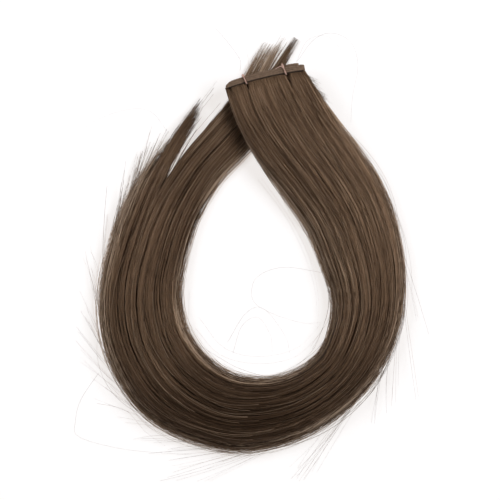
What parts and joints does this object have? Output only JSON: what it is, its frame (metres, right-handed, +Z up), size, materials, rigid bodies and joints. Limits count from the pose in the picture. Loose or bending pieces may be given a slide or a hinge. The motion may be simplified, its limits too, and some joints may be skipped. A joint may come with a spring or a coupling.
{
  "type": "hair weft",
  "caption": "Straight brown hair weft laid flat in an open teardrop loop, its sewn track folded in layers and held by thread ties, with loose tips under the root.",
  "frame": {"origin": "on the surface that the hair lies on, under the middle of the laid loop", "axes": "+Z up, +Y from the bottom of the loop towards the track, +X to the right as seen from above"},
  "size_m": [0.1715, 0.2329, 0.0174],
  "materials": {
    "hair": "satin",
    "track": "matte",
    "thread": "matte"
  },
  "bodies": {
    "root": {"hair": "hair", "track": "track", "tie_left": "thread", "tie_right": "thread"}
  },
  "joints": []
}
